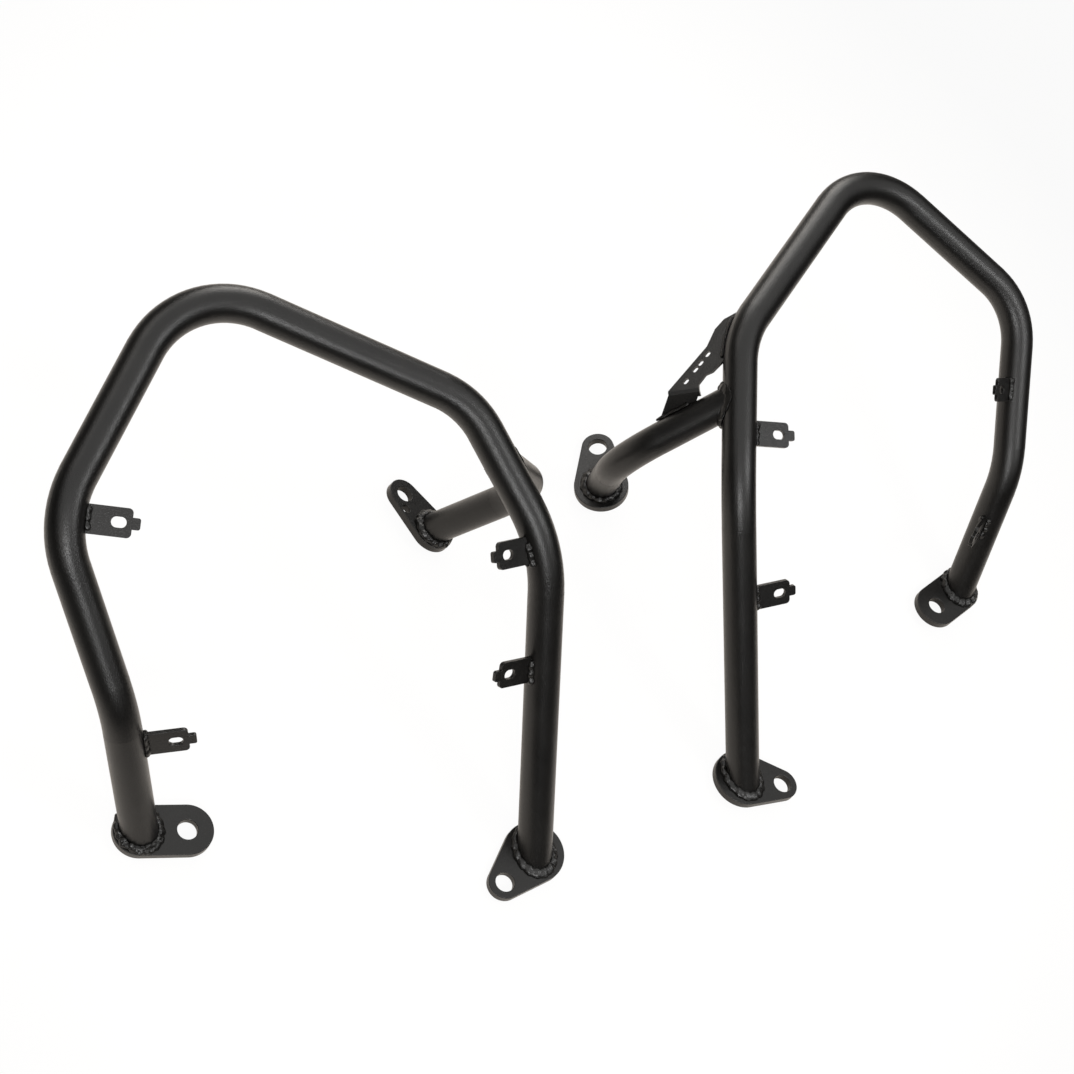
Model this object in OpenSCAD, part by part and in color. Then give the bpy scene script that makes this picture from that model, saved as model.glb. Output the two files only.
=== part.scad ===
// Pair of motorcycle crash bars: two bent steel tube hoops, each with a welded branch tube,
// three foot plates with bolt holes and four slotted tabs. They lie on the ground on their feet.
// Millimetres, +Z up, origin on the ground under the middle of the pair.

/* [Tube stock] */
// Outside diameter of the main tube
main_d = 25; // [22:0.5:28]
// Outside diameter of the branch tube
branch_d = 23.5; // [20:0.5:25]
// Wall thickness of both tubes
wall = 2; // [1.5:0.25:3]

/* [Main tube bends, from the front foot to the rear foot] */
// Lean of the first run away from upright, in degrees
start_lean = 41; // [36:0.5:46]
// Heading of the first run seen from above, in degrees
start_heading = 104.3; // [100:0.1:108]
// Straight run from the front foot
run_1 = 200.5; // [185:0.5:215]
// Straight run that carries the branch tube
run_2 = 56; // [50:0.5:66]
// Straight run along the top of the hoop
run_3 = 128.5; // [118:0.5:140]
// Straight run down from the crown
run_4 = 90.5; // [82:0.5:100]
// Straight run below the knee
run_5 = 79.5; // [72:0.5:88]
// Straight run into the rear foot
run_6 = 94; // [85:0.5:103]
// Bend above the front run, in degrees
bend_1 = 31.4; // [26:0.1:36]
// Bend into the top run, in degrees
bend_2 = 38.3; // [34:0.1:42]
// Bend at the crown, in degrees
bend_3 = 82.6; // [78:0.1:87]
// Bend at the knee, in degrees
bend_4 = 54.5; // [50:0.1:59]
// Bend above the rear foot, in degrees
bend_5 = 24.1; // [20:0.1:28]
// Turn of the tube in the bender before bend 1, in degrees
turn_1 = 45.8; // [40:0.1:52]
// Turn before bend 2, in degrees
turn_2 = 42.6; // [38:0.1:47]
// Turn before bend 3, in degrees
turn_3 = 10.1; // [6:0.1:14]
// Turn before bend 4, in degrees
turn_4 = -25.6; // [-30:0.1:-21]
// Turn before bend 5, in degrees
turn_5 = -75.1; // [-80:0.1:-70]
// Centreline radius of the tight bends 2, 3 and 4
bend_r = 62.5; // [55:0.5:70]
// Centreline radius of the long bend 1
long_bend_r = 117.5; // [105:0.5:130]
// Centreline radius of the gentle bend 5
gentle_bend_r = 87.5; // [75:0.5:100]

/* [Branch tube] */
// Distance of the joint beyond the start of run 2
branch_at = 32.5; // [28:0.5:40]
// Heading of the branch about the main tube, in degrees
branch_heading = -72.7; // [-78:0.1:-68]
// Tilt of the branch away from the main tube's run, in degrees
branch_tilt = 113.8; // [109:0.1:118]
// Straight run from the main tube's centreline to the bend
branch_run_1 = 67; // [60:0.5:74]
// Straight run from the bend to the foot of the left bar
left_branch_run_2 = 68; // [62:0.5:74]
// Straight run from the bend to the foot of the right bar
right_branch_run_2 = 46.5; // [41:0.5:52]
// Turn before the branch bend, in degrees
branch_turn = 102.6; // [98:0.1:107]
// Branch bend, in degrees
branch_bend = 60.3; // [56:0.1:65]

/* [Foot plates] */
// Thickness of the foot plates
foot_t = 6; // [4:0.5:8]
// Bolt hole diameter in the front, rear and right branch feet
bolt_d = 14; // [12:0.25:16]
// Bolt hole diameter in the left branch foot
small_bolt_d = 12.5; // [10:0.25:13]
// End radius of the front foot round the tube
front_foot_r = 22.5; // [21:0.5:25]
// End radius of the front foot round its bolt
front_eye_r = 12.25; // [11:0.25:14]
// Distance from the tube to the bolt of the front foot
front_bolt_at = 33.5; // [31:0.5:37]
// Heading of the front foot, in degrees
front_foot_heading = -136; // [-142:1:-130]
// Radius of both ends of the rear foot
rear_foot_r = 17.75; // [17:0.25:21]
// Distance from the tube to the bolt of the rear foot
rear_bolt_at = 32.25; // [30:0.25:36]
// Heading of the rear foot, in degrees
rear_foot_heading = 3; // [-3:1:9]
// End radius of the left branch foot round the tube
left_branch_foot_r = 16.75; // [16:0.25:19]
// End radius of the right branch foot round the tube
right_branch_foot_r = 21; // [20:0.5:24]
// End radius of the branch feet round the bolt
branch_eye_r = 12.5; // [11:0.25:14]
// Distance from the tube to the bolt of the left branch foot
left_branch_bolt_at = 33.5; // [31:0.5:37]
// Heading of the left branch foot, in degrees
left_branch_foot_heading = 131.5; // [125:0.5:138]
// Lean of the left branch foot, in degrees
left_branch_foot_lean = 17.5; // [13:0.5:21]
// Direction in which the left branch foot leans, in degrees
left_branch_foot_lean_to = 17; // [11:1:23]
// Diameter of the small second hole in the left branch foot
pin_d = 6.5; // [4:0.25:6.75]
// Distance from the tube to the small hole
pin_at = 25.25; // [24:0.25:27]
// Angle between the small hole and the bolt, seen from the tube, in degrees
pin_angle = 21; // [18:0.5:22]
// Distance from the tube to the bolt of the right branch foot
right_branch_bolt_at = 35.5; // [32:0.5:39]
// Heading of the right branch foot, in degrees
right_branch_foot_heading = 132.5; // [126:0.5:139]
// Lean of the right branch foot, in degrees
right_branch_foot_lean = 24.5; // [20:0.5:28]
// Direction in which the right branch foot leans, in degrees
right_branch_foot_lean_to = 39.5; // [33:0.5:46]

/* [Tabs] */
// Width of a tab along the tube
tab_w = 18.5; // [16:0.5:21]
// Thickness of a tab
tab_t = 3; // [2:0.25:4]
// Distance from the tube's centreline to the slot of a tab
tab_slot_at = 32; // [30:0.5:35]
// Distance from the slot to the shoulder of the tab
tab_shoulder = 8.25; // [7.5:0.25:10]
// Width of the tongue on the tab's end
tongue_w = 7.5; // [6:0.25:9]
// Length of the tongue
tongue_l = 5; // [4:0.25:6.5]
// Width of the slot in a tab
slot_w = 6.75; // [5.5:0.25:7.5]
// Length of the slot in a tab
slot_l = 9.5; // [8:0.25:11]

/* [Slotted bracket on the right bar] */
// Thickness of the bracket sheet
sheet_t = 3; // [2:0.25:4]
// Width of the fold between the bracket's web and flange
fold_w = 23; // [20:0.5:26]
// Angle of the fold, in degrees
fold_angle = 50; // [45:1:55]
// Inside radius of the fold
fold_r = 1.5; // [1:0.25:2.5]
// Width of the small slots
small_slot_w = 3.25; // [2.5:0.25:4]
// Length of the small slots
small_slot_l = 5; // [4:0.25:5.5]

/* [Welds] */
// Leg of the weld beads round the feet and the joint
weld_leg = 4; // [3:0.25:5]
// Leg of the weld beads on the tabs and the bracket
tab_weld_leg = 2.5; // [2:0.25:3]

/* [Layout on the ground] */
// Heading of the left bar, in degrees
left_turn = -4.1; // [-10:0.1:2]
// Left bar's front foot along X
left_x = -27.7; // [-60:0.1:-10]
// Left bar's front foot along Y
left_y = -224.6; // [-240:0.1:-200]
// Heading of the right bar, in degrees
right_turn = 34.7; // [30:0.1:40]
// Right bar's front foot along X
right_x = 152.3; // [120:0.1:170]
// Right bar's front foot along Y
right_y = -170.1; // [-190:0.1:-150]

/* [Hidden] */
$fn = 48;
coat = "#1c1b1a";
main_r = main_d / 2;
branch_r = branch_d / 2;
// Small gap between a weld bead and the metal it lies on
weld_gap = 0.1;
// How far a blank reaches past a face before it is trimmed there
over = 30;
// How far a run reaches over the end of a bend, and how much thinner the bend's wall is there
bend_seat = 1;
bend_slack = 0.06;
// How far a straight side lies inside the rounds that it joins
tangent_slack = 0.01;
// Corner radius of the tabs and of their tongues
tab_corner = 3;
tongue_corner = 1.5;
// Steps of one weld bead round a tube, and its ripples
bead_steps = 48;
bead_ripples = 16;
ripple = 0.12;
// Steps and ripples of the short beads on the tabs
short_steps = 12;
short_ripples = 3;

// Rigid moves as matrices
function move(v) = [[1, 0, 0, v.x], [0, 1, 0, v.y], [0, 0, 1, v.z], [0, 0, 0, 1]];
function spin(a) = [[cos(a), -sin(a), 0, 0], [sin(a), cos(a), 0, 0], [0, 0, 1, 0], [0, 0, 0, 1]];
function tip(a) = [[cos(a), 0, sin(a), 0], [0, 1, 0, 0], [-sin(a), 0, cos(a), 0], [0, 0, 0, 1]];
function roll(a) = [[1, 0, 0, 0], [0, cos(a), -sin(a), 0], [0, sin(a), cos(a), 0], [0, 0, 0, 1]];
function origin_of(m) = [m[0][3], m[1][3], m[2][3]];
function axis_of(m, k) = [m[0][k], m[1][k], m[2][k]];
function unit(v) = v / norm(v);
// Part of v that is square to the unit vector n
function square_to(v, n) = v - (v * n) * n;

// A bent tube is [start frame, straight runs, turns, bends, bend radii]; z runs along the tube
main_tube = [
    spin(start_heading) * tip(start_lean),
    [run_1, run_2, run_3, run_4, run_5, run_6],
    [turn_1, turn_2, turn_3, turn_4, turn_5],
    [bend_1, bend_2, bend_3, bend_4, bend_5],
    [long_bend_r, bend_r, bend_r, bend_r, gentle_bend_r]
];
function arc_length(t, i) = t[4][i] * t[3][i] * PI / 180;
function bent(r, a) = move([r * (1 - cos(a)), 0, r * sin(a)]) * tip(a);
// Frame on a tube's centreline at a developed length from its start
function station(t, s, i = 0, m = undef) =
    let (
        start = is_undef(m) ? t[0] : m,
        run = t[1][i],
        last = i == len(t[1]) - 1,
        arc = last ? 0 : arc_length(t, i),
        bend_start = last ? start : start * move([0, 0, run]) * spin(t[2][i])
    )
    last || s <= run ? start * move([0, 0, s])
    : s <= run + arc ? bend_start * bent(t[4][i], (s - run) / t[4][i] * 180 / PI)
    : station(t, s - run - arc, i + 1, bend_start * bent(t[4][i], t[3][i]));
// Developed length from a tube's start to the start of straight run n
function run_start(t, n) = n == 1 ? 0 : run_start(t, n - 1) + t[1][n - 2] + arc_length(t, n - 2);
function tube_length(t) = run_start(t, len(t[1])) + t[1][len(t[1]) - 1];

joint_at = run_start(main_tube, 2) + branch_at;
function branch_tube(run_2) = [
    station(main_tube, joint_at) * spin(branch_heading) * tip(branch_tilt),
    [branch_run_1, run_2],
    [branch_turn],
    [branch_bend],
    [bend_r]
];
left_branch = branch_tube(left_branch_run_2);
right_branch = branch_tube(right_branch_run_2);
branch_start = left_branch[0];
rear_end = station(main_tube, tube_length(main_tube));
left_branch_end = station(left_branch, tube_length(left_branch));
right_branch_end = station(right_branch, tube_length(right_branch));

// A foot is [frame on its tube side, tube end radius, bolt position, eye radius, hole diameter],
// and may add the position and diameter of a small second hole
function polar(d, a) = [d * cos(a), d * sin(a), 0];
function leaning(lean, heading) = spin(heading) * tip(lean) * spin(-heading);
front_foot = [
    spin(0), front_foot_r, polar(front_bolt_at, front_foot_heading), front_eye_r, bolt_d
];
rear_foot = [
    move(origin_of(rear_end)), rear_foot_r, polar(rear_bolt_at, rear_foot_heading),
    rear_foot_r, bolt_d
];
left_branch_foot = [
    move(origin_of(left_branch_end)) * leaning(left_branch_foot_lean, left_branch_foot_lean_to),
    left_branch_foot_r, polar(left_branch_bolt_at, left_branch_foot_heading),
    branch_eye_r, small_bolt_d, polar(pin_at, left_branch_foot_heading + pin_angle), pin_d
];
right_branch_foot = [
    move(origin_of(right_branch_end)) * leaning(right_branch_foot_lean, right_branch_foot_lean_to),
    right_branch_foot_r, polar(right_branch_bolt_at, right_branch_foot_heading),
    branch_eye_r, bolt_d
];

// Each bar rests on the lowest edge of its three feet: the plane through those points
function low_edge(foot, up) =
    let (
        n = axis_of(foot[0], 2),
        out = -unit(square_to(up, n)),
        a = origin_of(foot[0] * move([0, 0, -foot_t])) + foot[1] * out,
        b = origin_of(foot[0] * move(foot[2] - [0, 0, foot_t])) + foot[3] * out
    )
    a * up < b * up ? a : b;
function plane_up(p) = let (n = unit(cross(p[1] - p[0], p[2] - p[0]))) n.z < 0 ? -n : n;
function rest_up(feet, up, tries) =
    tries == 0 ? up : rest_up(feet, plane_up([for (f = feet) low_edge(f, up)]), tries - 1);
first_guess = unit([0.1, -0.1, 1]);
left_feet = [front_foot, rear_foot, left_branch_foot];
right_feet = [front_foot, rear_foot, right_branch_foot];
left_up = rest_up(left_feet, first_guess, 12);
right_up = rest_up(right_feet, first_guess, 12);

module stand(up, foot) {
    translate([0, 0, -low_edge(foot, up) * up])
        rotate(a = acos(up.z), v = cross(up, [0, 0, 1]))
            children();
}

module place_left() {
    translate([left_x, left_y, 0]) rotate([0, 0, left_turn]) stand(left_up, front_foot) children();
}

module place_right() {
    translate([right_x, right_y, 0]) rotate([0, 0, right_turn]) mirror([1, 0, 0])
        stand(right_up, front_foot) children();
}

// Frames at the start of straight run n and at the start of bend n, turned into its plane
function run_frame(t, n) = station(t, run_start(t, n));
function bend_frame(t, n) = run_frame(t, n) * move([0, 0, t[1][n - 1]]) * spin(t[2][n - 1]);

module ring(tube_r, bore_r) {
    difference() {
        circle(tube_r);
        circle(bore_r);
    }
}

// Bend n of a tube, filled by the profile that is given as its child
module elbow(t, n) {
    r = t[4][n - 1];
    angle = t[3][n - 1];
    multmatrix(bend_frame(t, n)) translate([r, 0, 0]) rotate([90, 0, 0])
        rotate([0, 0, 180 - angle]) rotate_extrude(angle = angle, $fn = 96)
            translate([r, 0]) children();
}

// Straight run n of a tube, with a length added before it and after it
module straight(t, n, before = bend_seat, after = bend_seat) {
    multmatrix(run_frame(t, n)) translate([0, 0, -before])
        linear_extrude(t[1][n - 1] + before + after) children();
}

// The solid rod of the run or bend that lies at a developed length
function run_at(t, s, n = 1) = n == len(t[1]) || s < run_start(t, n + 1) ? n : run_at(t, s, n + 1);
module rod_at(t, s, tube_r) {
    n = run_at(t, s);
    if (s - run_start(t, n) < t[1][n - 1]) straight(t, n, over, over) circle(tube_r);
    else elbow(t, n) circle(tube_r);
}

// The bend's wall is a hair thinner than the runs' walls, which reach over its ends
module wall_of_run(tube_r) { ring(tube_r, tube_r - wall); }
module wall_of_bend(tube_r) { ring(tube_r - bend_slack, tube_r - wall + bend_slack); }

// Space under a foot's tube side, which trims the end of its tube
module under(foot) {
    size = 4 * over;
    multmatrix(foot[0]) translate([-size / 2, -size / 2, -size / 2]) cube([size, size, size / 2]);
}

module hoop() {
    last = len(main_tube[1]);
    difference() {
        straight(main_tube, 1, before = over) wall_of_run(main_r);
        under(front_foot);
    }
    for (n = [2 : last - 1]) straight(main_tube, n) wall_of_run(main_r);
    for (n = [1 : last - 1]) elbow(main_tube, n) wall_of_bend(main_r);
    difference() {
        straight(main_tube, last, after = over) wall_of_run(main_r);
        under(rear_foot);
    }
}

// The branch is coped round the main tube at one end and mitred to its foot at the other
module branch(tube, foot) {
    difference() {
        straight(tube, 1, before = 0) wall_of_run(branch_r);
        straight(main_tube, 2, over, over) circle(main_r);
    }
    elbow(tube, 1) wall_of_bend(branch_r);
    difference() {
        straight(tube, 2, after = over) wall_of_run(branch_r);
        under(foot);
    }
}

// Outline of two round ends joined by their outer tangents
module two_ended(r1, at, r2) {
    far = norm(at);
    heading = atan2(at.y, at.x);
    a = acos((r1 - r2) / far);
    circle(r1, $fn = 72);
    translate([at.x, at.y]) circle(r2, $fn = 72);
    near = r1 - tangent_slack;
    end = r2 - tangent_slack;
    rotate(heading) polygon([
        near * [cos(a), sin(a)], near * [cos(a), -sin(a)],
        [far, 0] + end * [cos(a), -sin(a)], [far, 0] + end * [cos(a), sin(a)]
    ]);
}

module foot_plate(foot) {
    multmatrix(foot[0]) translate([0, 0, -foot_t]) difference() {
        linear_extrude(foot_t) two_ended(foot[1], foot[2], foot[3]);
        translate([foot[2].x, foot[2].y, -1]) cylinder(h = foot_t + 2, d = foot[4]);
        if (len(foot) > 5) translate([foot[5].x, foot[5].y, -1]) cylinder(h = foot_t + 2, d = foot[6]);
    }
}

// Tabs: developed length along the main tube, clock angle and skew, separate on each bar
left_tabs = [
    [run_start(main_tube, 5) - 32.5, 37, 0], [run_start(main_tube, 6) + 14.5, 115.5, 0],
    [run_start(main_tube, 2) - 31.5, 63, -13], [145.5, 105.5, -7]
];
right_tabs = [
    [run_start(main_tube, 5) + 34, 42, 0], [run_start(main_tube, 6) + 31, 125, 0],
    [run_start(main_tube, 2) + 6, 57.5, -3], [144, 105, 0]
];
function tab_frame(tab) = station(main_tube, tab[0]) * spin(tab[1]) * tip(tab[2]);

module rounded(size, r) {
    translate([r, 0]) square([size.x - 2 * r, size.y]);
    translate([0, r]) square([size.x, size.y - 2 * r]);
    for (x = [r, size.x - r], y = [r, size.y - r]) translate([x, y]) circle(r);
}

// A tab stands on the tube, with its width along the tube and a slot and tongue outwards
module tab(at) {
    shoulder = tab_slot_at + tab_shoulder;
    base = main_r - 2;
    difference() {
        multmatrix(tab_frame(at)) rotate([90, 0, 0]) translate([0, 0, -tab_t / 2])
            linear_extrude(tab_t) difference() {
                union() {
                    translate([base, -tab_w / 2])
                        rounded([shoulder - base, tab_w], tab_corner);
                    translate([base, -tab_w / 2])
                        square([2 * tab_corner, tab_w]);
                    translate([shoulder - tab_corner, -tongue_w / 2])
                        rounded([tongue_l + tab_corner, tongue_w], tongue_corner);
                }
                translate([tab_slot_at, 0]) {
                    square([slot_l - slot_w, slot_w], center = true);
                    for (x = [-1, 1]) translate([x * (slot_l - slot_w) / 2, 0])
                        circle(d = slot_w);
                }
            }
        rod_at(main_tube, at[0], main_r);
    }
}

// A weld bead is swept through stations [corner, leg direction, leg direction]: its section
// is a quarter round, and its size ripples along the run
bead_angles = [0, 30, 60, 90];
function bead_ring(s, leg) = concat(
    [s[0]], [for (a = bead_angles) s[0] + leg * (cos(a) * unit(s[1]) + sin(a) * unit(s[2]))]
);
module bead(stations, leg, ripples, closed) {
    n = len(stations);
    k = len(bead_angles) + 1;
    rings = closed ? n : n - 1;
    points = [
        for (i = [0 : n - 1])
            each bead_ring(stations[i], leg * (1 + ripple * sin(360 * ripples * i / n)))
    ];
    sides = [
        for (i = [0 : rings - 1], j = [0 : k - 1])
            let (
                a = i * k + j, b = i * k + (j + 1) % k,
                c = ((i + 1) % n) * k + j, d = ((i + 1) % n) * k + (j + 1) % k
            )
            each [[a, b, d], [a, d, c]]
    ];
    ends = closed ? [] : [[for (j = [k - 1 : -1 : 0]) j], [for (j = [0 : k - 1]) (n - 1) * k + j]];
    polyhedron(points, concat(sides, ends));
}

// Bead where a tube of the given end frame meets its foot
module foot_bead(end, foot, tube_r) {
    n = axis_of(foot[0], 2);
    along = axis_of(end, 2) * n > 0 ? axis_of(end, 2) : -axis_of(end, 2);
    centre = origin_of(foot[0]);
    stations = [
        for (i = [0 : bead_steps - 1])
            let (
                t = 360 * i / bead_steps,
                out = cos(t) * axis_of(end, 0) + sin(t) * axis_of(end, 1),
                side = centre + (tube_r + weld_gap) * out,
                lift = (weld_gap - (side - centre) * n) / (along * n)
            )
            [side + lift * along, unit(square_to(out, n)), along]
    ];
    bead(stations, weld_leg, bead_ripples, true);
}

// Bead where the branch tube meets the main tube
module joint_bead() {
    m = axis_of(station(main_tube, joint_at), 2);
    centre = origin_of(branch_start);
    along = axis_of(branch_start, 2);
    stations = [
        for (i = [0 : bead_steps - 1])
            let (
                t = 360 * i / bead_steps,
                out = cos(t) * axis_of(branch_start, 0) + sin(t) * axis_of(branch_start, 1),
                side = square_to((branch_r + weld_gap) * out, m),
                a = square_to(along, m),
                far = sqrt((side * a) ^ 2 - (a * a) * (side * side - (main_r + weld_gap) ^ 2)),
                lift = (far - side * a) / (a * a),
                skin = unit(side + lift * a)
            )
            [centre + (branch_r + weld_gap) * out + lift * along, unit(square_to(out, skin)), along]
    ];
    bead(stations, weld_leg, bead_ripples, true);
}

// Beads along both faces of a flat sheet that stands on a tube, from one developed length to
// another: the sheet's middle plane is given by a point and its normal
module sheet_beads(t, tube_r, from, to, point, normal, towards, thick) {
    reach = tube_r + weld_gap;
    for (side = [-1, 1]) {
        stations = [
            for (i = [0 : short_steps - 1])
                let (
                    f = station(t, from + (to - from) * i / (short_steps - 1)),
                    centre = origin_of(f),
                    a = normal * axis_of(f, 0),
                    b = normal * axis_of(f, 1),
                    off = (point - centre) * normal + side * (thick / 2 + weld_gap),
                    swing = acos(off / reach / norm([a, b])),
                    aim = atan2(b, a),
                    skins = [
                        for (c = [aim - swing, aim + swing])
                            cos(c) * axis_of(f, 0) + sin(c) * axis_of(f, 1)
                    ],
                    skin = skins[0] * towards > skins[1] * towards ? skins[0] : skins[1],
                    up = unit(square_to(skin, normal)),
                    away = unit(square_to(side * normal, skin)),
                    flip = cross(up, away) * axis_of(f, 2) < 0
                )
                [centre + reach * skin, flip ? away : up, flip ? up : away]
        ];
        bead(stations, tab_weld_leg, short_ripples, false);
    }
}

module tab_beads(at) {
    f = tab_frame(at);
    half = 0.46 * tab_w;
    sheet_beads(
        main_tube, main_r, at[0] - half, at[0] + half,
        origin_of(f), axis_of(f, 1), axis_of(f, 0), tab_t
    );
}

// The slotted bracket is one folded sheet: a web that meets the main tube, and a flange that
// stands on the branch tube. Its frame has X along the fold, Y up the web and Z through it
bracket_frame = branch_start * move([-20.5, -12, 33.5])
    * spin(23.5) * tip(70.5) * roll(-57.5);
flange_frame = bracket_frame * move([0, 0, sheet_t + fold_r]) * roll(-fold_angle)
    * move([0, 0, -sheet_t - fold_r]);
// Depth of the web's outline past the fold, so that the outlines overlap there
fold_depth = 4;
web_outline = [
    [-fold_w / 2, -fold_depth], [-fold_w / 2, 0], [18.5, 31.5], [25, 44.5], [32, 51.5],
    [44, 56.5], [44, 24], [30, 18], [22, 11], [17, 9.5], [fold_w / 2, 3],
    [fold_w / 2, -fold_depth]
];
flange_outline = [[-fold_w / 2, 1], [fold_w / 2, 1], [fold_w / 2, 0], [3, -15], [-27, -26]];
// The row of small slots starts here and runs up the web; their places along the row
slot_row_start = [1.5, 5.5];
slot_row_angle = 49;
small_slots = [1, 12, 18.25, 26.5];
// Section of the folded sheet, which runs past both outlines
sheet_reach = 70;
fold_centre = [0, sheet_t + fold_r];
fold_steps = [0 : fold_angle / 5 : fold_angle];
function fold_arc(r) = [for (a = fold_steps) fold_centre - r * [sin(a), cos(a)]];
flange_run = sheet_reach * [-cos(fold_angle), sin(fold_angle)];
outer_arc = fold_arc(fold_r + sheet_t);
inner_arc = fold_arc(fold_r);
sheet_section = [
    [sheet_reach, 0], each outer_arc, outer_arc[5] + flange_run,
    inner_arc[5] + flange_run, for (i = [5 : -1 : 0]) inner_arc[i], [sheet_reach, sheet_t]
];

module small_slot() {
    square([small_slot_l - small_slot_w, small_slot_w], center = true);
    for (x = [-1, 1]) translate([x * (small_slot_l - small_slot_w) / 2, 0])
        circle(d = small_slot_w);
}

module slotted_bracket() {
    difference() {
        intersection() {
            multmatrix(bracket_frame) translate([-sheet_reach / 2, 0, 0]) rotate([90, 0, 90])
                linear_extrude(1.5 * sheet_reach) polygon(sheet_section);
            union() {
                multmatrix(bracket_frame) translate([0, 0, -1]) linear_extrude(3 * sheet_t)
                    difference() {
                        polygon(web_outline);
                        translate(slot_row_start) rotate(slot_row_angle)
                            for (x = small_slots) translate([x, 0]) small_slot();
                    }
                multmatrix(flange_frame) translate([0, 0, -1]) linear_extrude(sheet_t + 2)
                    polygon(flange_outline);
            }
        }
        elbow(main_tube, 2) circle(main_r);
        straight(right_branch, 1) circle(branch_r);
        elbow(right_branch, 1) circle(branch_r - bend_slack);
    }
}

module bracket_beads() {
    web_middle = origin_of(bracket_frame * move([0, 0, sheet_t / 2]));
    flange_middle = origin_of(flange_frame * move([0, 0, sheet_t / 2]));
    sheet_beads(
        main_tube, main_r, joint_at + 28, joint_at + 56,
        web_middle, axis_of(bracket_frame, 2), -axis_of(bracket_frame, 0), sheet_t
    );
    sheet_beads(
        right_branch, branch_r, branch_run_1 - 32, branch_run_1 - 4,
        flange_middle, axis_of(flange_frame, 2), axis_of(flange_frame, 1), sheet_t
    );
}

module left_main_tube() { color(coat) place_left() hoop(); }
module left_branch_tube() { color(coat) place_left() branch(left_branch, left_branch_foot); }
module left_branch_weld() { color(coat) place_left() joint_bead(); }
module left_front_foot() { color(coat) place_left() foot_plate(front_foot); }
module left_rear_foot() { color(coat) place_left() foot_plate(rear_foot); }
module left_branch_foot() { color(coat) place_left() foot_plate(left_branch_foot); }
module left_front_foot_weld() { color(coat) place_left() foot_bead(main_tube[0], front_foot, main_r); }
module left_rear_foot_weld() { color(coat) place_left() foot_bead(rear_end, rear_foot, main_r); }
module left_branch_foot_weld() {
    color(coat) place_left() foot_bead(left_branch_end, left_branch_foot, branch_r);
}
module left_crown_tab() { color(coat) place_left() tab(left_tabs[0]); }
module left_rear_tab() { color(coat) place_left() tab(left_tabs[1]); }
module left_upper_tab() { color(coat) place_left() tab(left_tabs[2]); }
module left_lower_tab() { color(coat) place_left() tab(left_tabs[3]); }
module left_crown_tab_weld() { color(coat) place_left() tab_beads(left_tabs[0]); }
module left_rear_tab_weld() { color(coat) place_left() tab_beads(left_tabs[1]); }
module left_upper_tab_weld() { color(coat) place_left() tab_beads(left_tabs[2]); }
module left_lower_tab_weld() { color(coat) place_left() tab_beads(left_tabs[3]); }
module right_main_tube() { color(coat) place_right() hoop(); }
module right_branch_tube() { color(coat) place_right() branch(right_branch, right_branch_foot); }
module right_branch_weld() { color(coat) place_right() joint_bead(); }
module right_front_foot() { color(coat) place_right() foot_plate(front_foot); }
module right_rear_foot() { color(coat) place_right() foot_plate(rear_foot); }
module right_branch_foot() { color(coat) place_right() foot_plate(right_branch_foot); }
module right_front_foot_weld() { color(coat) place_right() foot_bead(main_tube[0], front_foot, main_r); }
module right_rear_foot_weld() { color(coat) place_right() foot_bead(rear_end, rear_foot, main_r); }
module right_branch_foot_weld() {
    color(coat) place_right() foot_bead(right_branch_end, right_branch_foot, branch_r);
}
module right_crown_tab() { color(coat) place_right() tab(right_tabs[0]); }
module right_rear_tab() { color(coat) place_right() tab(right_tabs[1]); }
module right_upper_tab() { color(coat) place_right() tab(right_tabs[2]); }
module right_lower_tab() { color(coat) place_right() tab(right_tabs[3]); }
module right_crown_tab_weld() { color(coat) place_right() tab_beads(right_tabs[0]); }
module right_rear_tab_weld() { color(coat) place_right() tab_beads(right_tabs[1]); }
module right_upper_tab_weld() { color(coat) place_right() tab_beads(right_tabs[2]); }
module right_lower_tab_weld() { color(coat) place_right() tab_beads(right_tabs[3]); }
module right_slotted_bracket() { color(coat) place_right() slotted_bracket(); }
module right_bracket_weld() { color(coat) place_right() bracket_beads(); }

left_main_tube();
left_branch_tube();
left_branch_weld();
left_front_foot();
left_rear_foot();
left_branch_foot();
left_front_foot_weld();
left_rear_foot_weld();
left_branch_foot_weld();
left_crown_tab();
left_rear_tab();
left_upper_tab();
left_lower_tab();
left_crown_tab_weld();
left_rear_tab_weld();
left_upper_tab_weld();
left_lower_tab_weld();
right_main_tube();
right_branch_tube();
right_branch_weld();
right_front_foot();
right_rear_foot();
right_branch_foot();
right_front_foot_weld();
right_rear_foot_weld();
right_branch_foot_weld();
right_crown_tab();
right_rear_tab();
right_upper_tab();
right_lower_tab();
right_crown_tab_weld();
right_rear_tab_weld();
right_upper_tab_weld();
right_lower_tab_weld();
right_slotted_bracket();
right_bracket_weld();
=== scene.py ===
"""Studio scene of a pair of motorcycle crash bars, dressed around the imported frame. Metres."""
import math

import bmesh
import bpy
from mathutils import Matrix, Vector, noise

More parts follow.
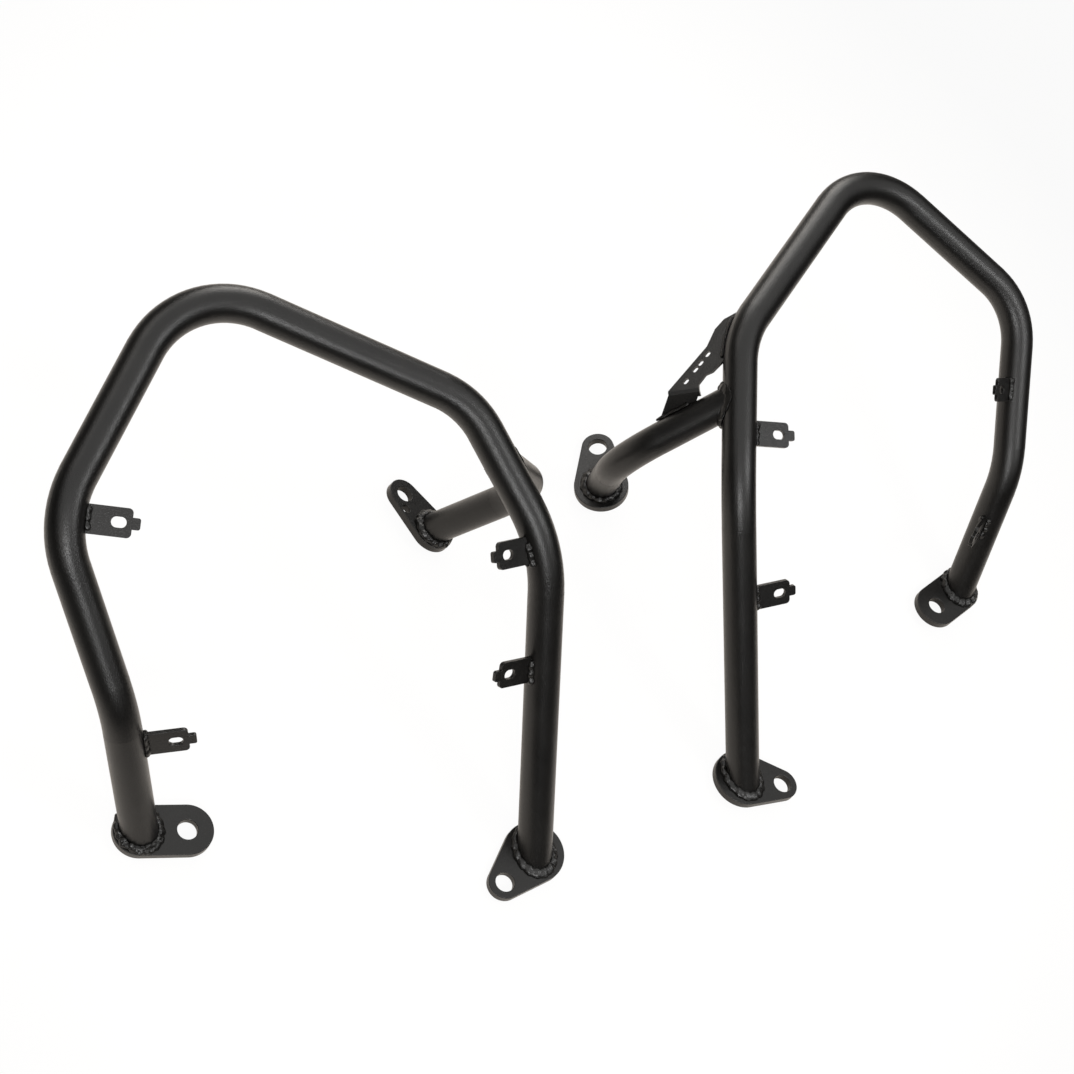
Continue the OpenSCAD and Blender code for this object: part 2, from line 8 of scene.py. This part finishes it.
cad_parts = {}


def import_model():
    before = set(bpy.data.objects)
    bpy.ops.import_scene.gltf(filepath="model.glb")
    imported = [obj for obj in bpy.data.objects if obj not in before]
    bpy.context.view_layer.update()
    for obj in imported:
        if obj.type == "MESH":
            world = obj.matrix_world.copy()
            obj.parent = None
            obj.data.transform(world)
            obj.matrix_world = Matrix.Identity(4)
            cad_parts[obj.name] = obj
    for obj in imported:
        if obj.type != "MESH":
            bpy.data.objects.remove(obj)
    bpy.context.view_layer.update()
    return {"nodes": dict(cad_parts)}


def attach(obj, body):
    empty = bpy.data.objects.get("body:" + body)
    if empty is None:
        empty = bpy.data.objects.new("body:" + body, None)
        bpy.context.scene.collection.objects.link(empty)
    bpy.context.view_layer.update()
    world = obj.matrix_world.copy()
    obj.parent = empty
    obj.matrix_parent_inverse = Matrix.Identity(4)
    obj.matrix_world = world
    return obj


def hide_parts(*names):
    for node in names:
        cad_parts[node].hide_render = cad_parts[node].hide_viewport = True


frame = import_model()
MM = 0.001

# Camera: a photographer's view from the front left, above the bars
CAMERA_AT = Vector((-0.7174, -0.5897, 1.4143))
CAMERA_FORWARD = Vector((0.4276, 0.3588, -0.8297))
CAMERA_RIGHT = Vector((0.9028, -0.1222, 0.4124))
IMAGE_SIZE = 1074
FOCAL_PIXELS = 2245.4
SENSOR_MM = 36

# Finish of the bars
COAT_COLOR = (0.0030, 0.0028, 0.0026, 1)
COAT_GREY = (0.0062, 0.0058, 0.0053, 1)
COAT_ROUGHNESS = (0.27, 0.35)
COAT_SPECULAR = 0.42

# Edges rounded by the coat
FOOT_EASE = 0.55 * MM
SHEET_EASE = 0.4 * MM
SHARP_EDGE = math.radians(35)
SMOOTH_BELOW = math.radians(40)

# Beads by place: how far a bead is pushed out and how high its lumps are, in millimetres
WELD_SHAPE = {"tab": (0.55, 1.05), "foot": (0.35, 1.0), "joint": (0.0, 0.35)}
# Size of the cells that a bead is remeshed with, in metres
WELD_VOXEL = 0.42 * MM
# Sizes of the lumps, of the waves and of the rough and smooth patches, in millimetres
WELD_LUMP_SIZE = 3.4
WELD_WAVE_SIZE = 4.2
WELD_PATCH_SIZE = 11

# Floor: the share of plain white that the camera sees, the share of a painted warm glow (a
# painted reflection of lit floor) that glossy rays see near the bars, and the pale middle's edge
# in metres, beyond which the floor is painted shade, with the colours on its sides
FLOOR_WHITE = 0.94
PAINTED_GLOW_SHARE = 0.40
PAINTED_GLOW_COLOR = (1.0, 0.90, 0.79, 1)
FLOOR_HALF = 4
PAINTED_SHADE_EDGE = (0.45, 0.72)
FLOOR_PALE_NEAR = (0.88, 0.83, 0.78, 1)
# Painted shade: the floor's colour away from the bars, seen by all rays but the camera's
PAINTED_FLOOR_SHADE = (0.16, 0.155, 0.15, 1)
WHITE = (1, 1, 1, 1)

# Room: its light rises between these heights of a direction, from the first level to the second
ROOM_EDGE = (0.44, 0.70)
ROOM_LEVELS = (0.02, 1.22)
ROOM_COLOR = (1, 0.99, 0.975, 1)

# Lamps, all aimed at one point: place and size in metres, power in watts, colour
LAMP_AIM = (0, 0, 0.1)
LAMPS = {
    "key": ((-0.475, -1.31, 1.38), (0.52, 0.22), 11, (1, 1, 1)),
    "side": ((0.97, -0.49, 1.66), (0.28, 0.40), 7, (1, 1, 1)),
    "window": ((0.16, 1.58, 0.95), (1.3, 0.6), 10, (1, 0.98, 0.95)),
    "low window": ((0.25, 1.83, 0.50), (0.8, 0.5), 8, (1, 0.95, 0.89)),
    "fill": ((-1.10, -1.10, 1.18), (0.7, 0.7), 2, (1, 0.96, 0.91)),
    "left": ((-1.10, 1.10, 1.18), (0.7, 0.7), 3, (1, 0.95, 0.89)),
}


def camera():
    data = bpy.data.cameras.new("camera")
    data.sensor_width = SENSOR_MM
    data.lens = FOCAL_PIXELS * SENSOR_MM / IMAGE_SIZE
    data.clip_start = 0.05
    data.clip_end = 20
    back = -CAMERA_FORWARD.normalized()
    right = CAMERA_RIGHT - CAMERA_RIGHT.dot(back) * back
    right.normalize()
    up = back.cross(right)
    obj = bpy.data.objects.new("camera", data)
    turn = Matrix((right, up, back)).transposed().to_4x4()
    obj.matrix_world = Matrix.Translation(CAMERA_AT) @ turn
    bpy.context.scene.collection.objects.link(obj)
    bpy.context.scene.camera = obj


def nodes_of(material):
    material.use_nodes = True
    tree = material.node_tree
    shader = tree.nodes["Principled BSDF"]
    return tree, shader


def powder_coat():
    """Satin black powder coat: a fine orange peel, a finer grain and faint changes of gloss."""
    material = bpy.data.materials.new("powder_coat")
    tree, shader = nodes_of(material)
    new, link = tree.nodes.new, tree.links.new
    place = new("ShaderNodeTexCoord").outputs["Object"]

    def noise_at(scale, detail, roughness):
        node = new("ShaderNodeTexNoise")
        node.inputs["Scale"].default_value = scale
        node.inputs["Detail"].default_value = detail
        node.inputs["Roughness"].default_value = roughness
        link(place, node.inputs["Vector"])
        return node.outputs["Fac"]

    def ramp(value, low, high, dark, light):
        node = new("ShaderNodeValToRGB")
        node.color_ramp.elements[0].position = low
        node.color_ramp.elements[1].position = high
        node.color_ramp.elements[0].color = dark
        node.color_ramp.elements[1].color = light
        link(value, node.inputs["Fac"])
        return node.outputs["Color"]

    def bump(height, strength, distance, normal=None):
        node = new("ShaderNodeBump")
        node.inputs["Strength"].default_value = strength
        node.inputs["Distance"].default_value = distance
        link(height, node.inputs["Height"])
        if normal:
            link(normal, node.inputs["Normal"])
        return node.outputs["Normal"]

    mottle = noise_at(38, 3, 0.55)
    link(ramp(mottle, 0.35, 0.75, COAT_COLOR, COAT_GREY), shader.inputs["Base Color"])
    gloss = new("ShaderNodeMapRange")
    link(noise_at(90, 2, 0.5), gloss.inputs["Value"])
    gloss.inputs["To Min"].default_value = COAT_ROUGHNESS[0]
    gloss.inputs["To Max"].default_value = COAT_ROUGHNESS[1]
    link(gloss.outputs["Result"], shader.inputs["Roughness"])
    peel = bump(noise_at(900, 3, 0.65), 0.32, 0.0005)
    grain = bump(noise_at(2600, 1, 0.5), 0.30, 0.00015, peel)
    link(grain, shader.inputs["Normal"])
    shader.inputs["Specular IOR Level"].default_value = COAT_SPECULAR
    return material


def ray_is(tree, *kinds):
    """1 for the rays of these kinds, such as Is Camera Ray, and 0 for all others."""
    path = tree.nodes.new("ShaderNodeLightPath")
    value = path.outputs[kinds[0]]
    for kind in kinds[1:]:
        either = tree.nodes.new("ShaderNodeMath")
        either.operation = "MAXIMUM"
        tree.links.new(value, either.inputs[0])
        tree.links.new(path.outputs[kind], either.inputs[1])
        value = either.outputs[0]
    return value


def floor():
    """White paper to the camera, with a faint shadow; to other rays pale only near the bars with
    painted shade further out, and a painted warm glow to glossy rays near the bars.
    """
    half = FLOOR_HALF
    mesh = bpy.data.meshes.new("floor")
    corners = [(-half, -half, 0), (half, -half, 0), (half, half, 0), (-half, half, 0)]
    mesh.from_pydata(corners, [], [(0, 1, 2, 3)])
    obj = bpy.data.objects.new("floor", mesh)
    bpy.context.scene.collection.objects.link(obj)
    material = bpy.data.materials.new("floor_paper")
    tree, shader = nodes_of(material)
    new, link = tree.nodes.new, tree.links.new
    reach = new("ShaderNodeVectorMath")
    reach.operation = "LENGTH"
    link(new("ShaderNodeTexCoord").outputs["Object"], reach.inputs[0])
    # 0 on the pale middle and 1 where the floor has turned to painted shade; its inverse sets
    # where the painted glow shows
    paper = new("ShaderNodeMapRange")
    paper.inputs["From Min"].default_value = PAINTED_SHADE_EDGE[0]
    paper.inputs["From Max"].default_value = PAINTED_SHADE_EDGE[1]
    link(reach.outputs["Value"], paper.inputs["Value"])
    # Painted shade: pale near the bars, dark further out
    floor_with_painted_shade = new("ShaderNodeMix")
    floor_with_painted_shade.data_type = "RGBA"
    floor_with_painted_shade.inputs["A"].default_value = FLOOR_PALE_NEAR
    floor_with_painted_shade.inputs["B"].default_value = PAINTED_FLOOR_SHADE
    link(paper.outputs["Result"], floor_with_painted_shade.inputs["Factor"])
    link(floor_with_painted_shade.outputs["Result"], shader.inputs["Base Color"])
    shader.inputs["Roughness"].default_value = 0.75
    shader.inputs["Specular IOR Level"].default_value = 0.1

    def math_node(operation, first, second):
        node = new("ShaderNodeMath")
        node.operation = operation
        for value, socket in zip((first, second), node.inputs):
            if isinstance(value, (int, float)):
                socket.default_value = value
            else:
                link(value, socket)
        return node.outputs[0]

    camera_share = math_node("MULTIPLY", ray_is(tree, "Is Camera Ray"), FLOOR_WHITE)
    near = math_node("SUBTRACT", 1, paper.outputs["Result"])
    # Painted reflection: glossy rays near the bars see the floor glow warm white, standing in
    # for lit floor
    glossy_near = math_node("MULTIPLY", ray_is(tree, "Is Glossy Ray"), near)
    painted_glow_share = math_node("MULTIPLY", glossy_near, PAINTED_GLOW_SHARE)
    tint = new("ShaderNodeMix")
    tint.data_type = "RGBA"
    tint.inputs["A"].default_value = PAINTED_GLOW_COLOR
    tint.inputs["B"].default_value = WHITE
    link(ray_is(tree, "Is Camera Ray"), tint.inputs["Factor"])
    # Emission: plain white backdrop to the camera, painted warm glow to glossy rays near the
    # bars
    white = new("ShaderNodeEmission")
    link(tint.outputs["Result"], white.inputs["Color"])
    mix = new("ShaderNodeMixShader")
    link(math_node("MAXIMUM", camera_share, painted_glow_share), mix.inputs["Fac"])
    link(shader.outputs["BSDF"], mix.inputs[1])
    link(white.outputs["Emission"], mix.inputs[2])
    link(mix.outputs["Shader"], tree.nodes["Material Output"].inputs["Surface"])
    mesh.materials.append(material)


def world():
    """A room with a white ceiling and dark walls; the camera sees plain white."""
    scene_world = bpy.data.worlds.new("studio")
    bpy.context.scene.world = scene_world
    scene_world.use_nodes = True
    tree = scene_world.node_tree
    new, link = tree.nodes.new, tree.links.new
    room = tree.nodes["Background"]
    room.inputs["Color"].default_value = ROOM_COLOR
    height = new("ShaderNodeSeparateXYZ")
    link(new("ShaderNodeTexCoord").outputs["Generated"], height.inputs["Vector"])
    level = new("ShaderNodeMapRange")
    level.interpolation_type = "SMOOTHSTEP"
    level.inputs["From Min"].default_value = ROOM_EDGE[0]
    level.inputs["From Max"].default_value = ROOM_EDGE[1]
    level.inputs["To Min"].default_value = ROOM_LEVELS[0]
    level.inputs["To Max"].default_value = ROOM_LEVELS[1]
    link(height.outputs["Z"], level.inputs["Value"])
    link(level.outputs["Result"], room.inputs["Strength"])
    seen = new("ShaderNodeBackground")
    seen.inputs["Color"].default_value = WHITE
    seen.inputs["Strength"].default_value = 1
    mix = new("ShaderNodeMixShader")
    link(ray_is(tree, "Is Camera Ray", "Is Transmission Ray"), mix.inputs["Fac"])
    link(room.outputs["Background"], mix.inputs[1])
    link(seen.outputs["Background"], mix.inputs[2])
    link(mix.outputs["Shader"], tree.nodes["World Output"].inputs["Surface"])


def lamp(name, at, size, power, color):
    data = bpy.data.lights.new(name, "AREA")
    data.shape = "RECTANGLE"
    data.size, data.size_y = size
    data.energy = power
    data.color = color
    obj = bpy.data.objects.new(name, data)
    obj.location = at
    obj.rotation_euler = (Vector(LAMP_AIM) - Vector(at)).to_track_quat("-Z", "Y").to_euler()
    bpy.context.scene.collection.objects.link(obj)


def stands_for(node, mesh, name):
    """A new piece with this mesh that takes the place of one CAD node."""
    obj = bpy.data.objects.new(name, mesh)
    bpy.context.scene.collection.objects.link(obj)
    mesh.materials.clear()
    mesh.materials.append(coat)
    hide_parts(node)
    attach(obj, "root")
    return obj


def world_copy(node):
    obj = frame["nodes"][node]
    mesh = obj.data.copy()
    mesh.transform(obj.matrix_world)
    return mesh


def with_modifier(mesh, kind, **settings):
    """The mesh after one modifier."""
    holder = bpy.data.objects.new("holder", mesh)
    bpy.context.scene.collection.objects.link(holder)
    modifier = holder.modifiers.new(kind.lower(), kind)
    for key, value in settings.items():
        setattr(modifier, key, value)
    changed = holder.evaluated_get(bpy.context.evaluated_depsgraph_get())
    done = bpy.data.meshes.new_from_object(changed)
    bpy.data.objects.remove(holder)
    return done


def eased_plate(node, radius):
    """A cut plate or sheet whose edges are rounded by the coat."""
    mesh = world_copy(node)
    shape = bmesh.new()
    shape.from_mesh(mesh)
    bmesh.ops.remove_doubles(shape, verts=shape.verts, dist=2e-6)
    flat = math.radians(0.4)
    bmesh.ops.dissolve_limit(shape, angle_limit=flat, verts=shape.verts, edges=shape.edges)
    joined = [e for e in shape.edges if len(e.link_faces) == 2]
    sharp = [e for e in joined if e.calc_face_angle() > SHARP_EDGE]
    bmesh.ops.bevel(
        shape, geom=sharp, offset=radius, offset_type="OFFSET", segments=3, profile=0.5,
        affect="EDGES", clamp_overlap=True,
    )
    shape.to_mesh(mesh)
    shape.free()
    mesh.polygons.foreach_set("use_smooth", [True] * len(mesh.polygons))
    mesh.set_sharp_from_angle(angle=SMOOTH_BELOW)
    mesh = with_modifier(mesh, "WEIGHTED_NORMAL", keep_sharp=True, weight=80)
    return stands_for(node, mesh, node + "_eased")


def lumpy_weld(node, grow, lump, seed):
    """A hand laid bead: the CAD fillet, remeshed finely and pushed out in overlapping lumps."""
    mesh = with_modifier(world_copy(node), "REMESH", mode="VOXEL", voxel_size=WELD_VOXEL)
    shift = Vector((seed * 1.7, seed * 0.9, seed * 2.3))
    moves = []
    for vertex in mesh.vertices:
        at = vertex.co / MM + shift
        blobs = 1 - 2 * min(1, noise.voronoi(at / WELD_LUMP_SIZE)[0][0])
        soft = noise.noise(at / WELD_WAVE_SIZE)
        uneven = min(1.6, max(0.25, 0.7 + 2.2 * noise.noise(at / WELD_PATCH_SIZE)))
        push = grow + lump * uneven * (0.55 * blobs + 0.60 * soft)
        moves.append(vertex.co + vertex.normal * push * MM)
    for vertex, co in zip(mesh.vertices, moves):
        vertex.co = co
    mesh = with_modifier(mesh, "SMOOTH", factor=0.5, iterations=5)
    mesh.polygons.foreach_set("use_smooth", [True] * len(mesh.polygons))
    return stands_for(node, mesh, node + "_bead")


camera()
bpy.context.scene.view_settings.view_transform = "Standard"
world()
floor()
for name, (at, size, power, color) in LAMPS.items():
    lamp(name, at, size, power, color)

coat = powder_coat()
for obj in frame["nodes"].values():
    obj.data.materials.clear()
    obj.data.materials.append(coat)

for seed, node in enumerate(sorted(frame["nodes"])):
    if node.endswith("_weld"):
        kind = "tab" if "tab" in node else "foot" if "foot" in node else "joint"
        lumpy_weld(node, *WELD_SHAPE[kind], seed)
    elif node.endswith("_foot"):
        eased_plate(node, FOOT_EASE)
    elif node.endswith("_tab") or node.endswith("_bracket"):
        eased_plate(node, SHEET_EASE)
